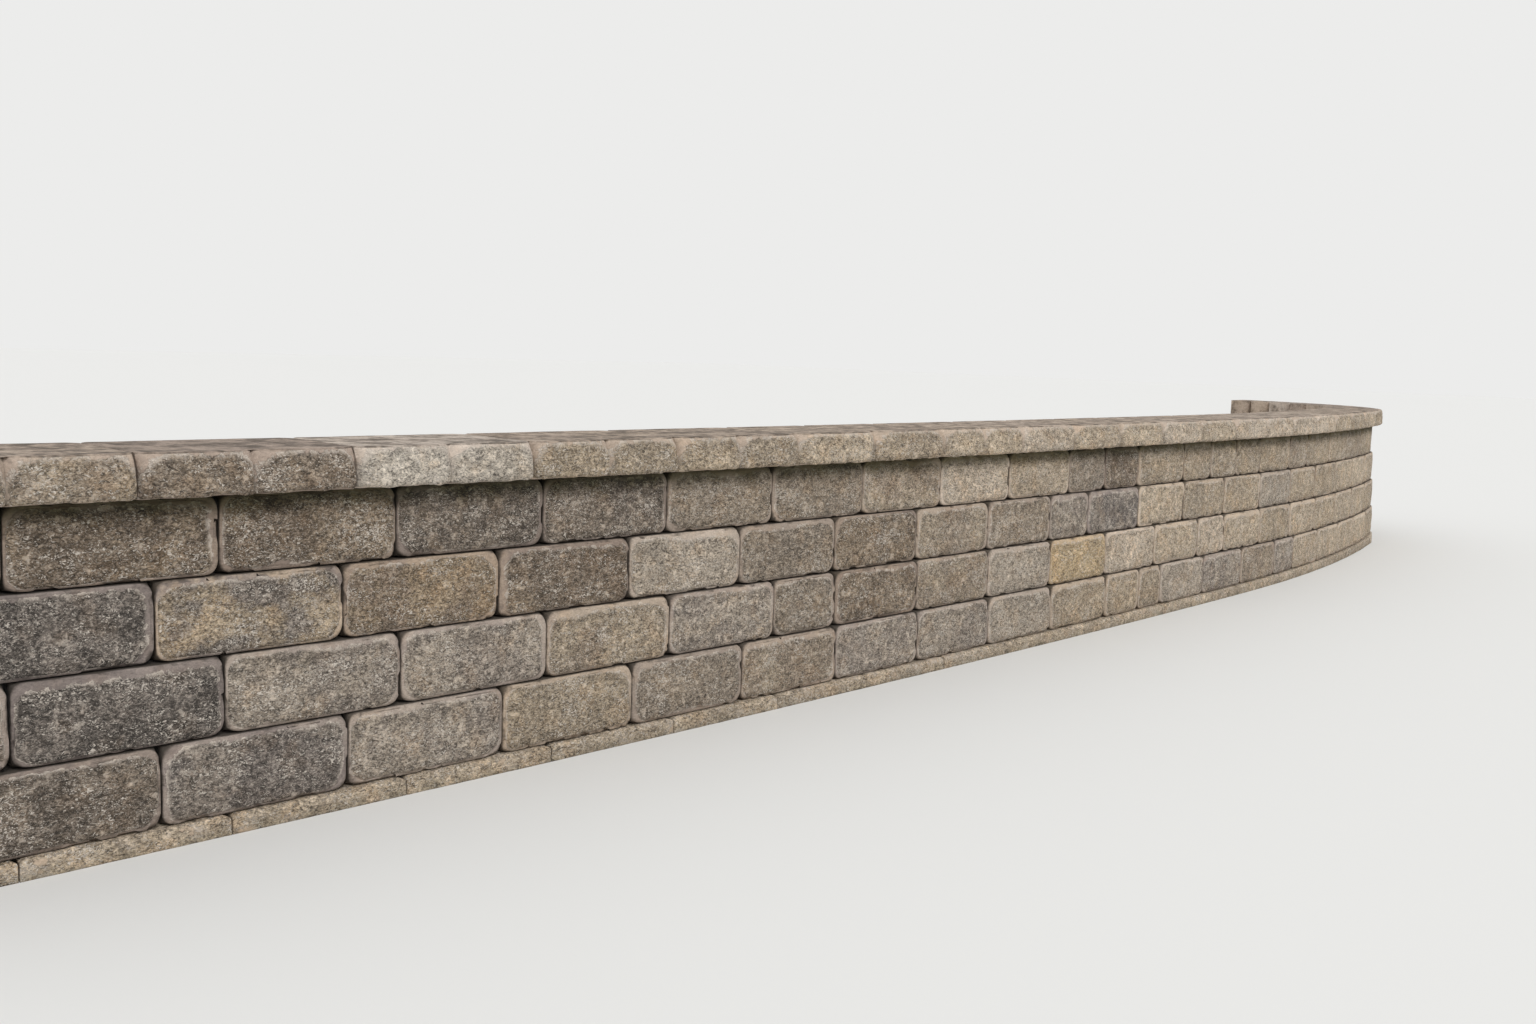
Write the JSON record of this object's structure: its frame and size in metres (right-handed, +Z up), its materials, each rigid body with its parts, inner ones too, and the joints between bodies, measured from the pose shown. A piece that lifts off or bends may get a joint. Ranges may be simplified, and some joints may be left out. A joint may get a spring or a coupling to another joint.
{
  "type": "block retaining wall",
  "caption": "Low dry-laid garden retaining wall of tumbled concrete blocks in running bond, each course set back, with an overhanging split-faced coping, bending round at one end.",
  "frame": {"origin": "middle of the bounding box, on the ground", "axes": "+X along the long run of the wall from its near end, -Y out of the exposed face, +Y towards the retained bank, +Z up"},
  "size_m": [8.4004, 1.4928, 0.7336],
  "materials": {
    "wall_block": "tumbled concrete block in mixed greys, browns and buffs, granular, worn paler along the arrises",
    "base_block": "tumbled concrete block, pale buff ledge, slightly stained near the ground",
    "coping_block": "split-faced concrete coping, paler and smoother on top, chipped and rough on its face"
  },
  "bodies": {
    "root": {"base_course_bay_1": "base_block", "base_course_bay_2": "base_block", "base_course_bay_3": "base_block", "base_course_bay_4": "base_block", "base_course_bay_5": "base_block", "course_1_bay_1": "wall_block", "course_1_bay_2": "wall_block", "course_1_bay_3": "wall_block", "course_1_bay_4": "wall_block", "course_1_bay_5": "wall_block", "course_2_bay_1": "wall_block", "course_2_bay_2": "wall_block", "course_2_bay_3": "wall_block", "course_2_bay_4": "wall_block", "course_2_bay_5": "wall_block", "course_3_bay_1": "wall_block", "course_3_bay_2": "wall_block", "course_3_bay_3": "wall_block", "course_3_bay_4": "wall_block", "course_3_bay_5": "wall_block", "course_4_bay_1": "wall_block", "course_4_bay_2": "wall_block", "course_4_bay_3": "wall_block", "course_4_bay_4": "wall_block", "course_4_bay_5": "wall_block", "coping_bay_1": "coping_block", "coping_bay_2": "coping_block", "coping_bay_3": "coping_block", "coping_bay_4": "coping_block", "coping_bay_5": "coping_block"}
  },
  "joints": []
}
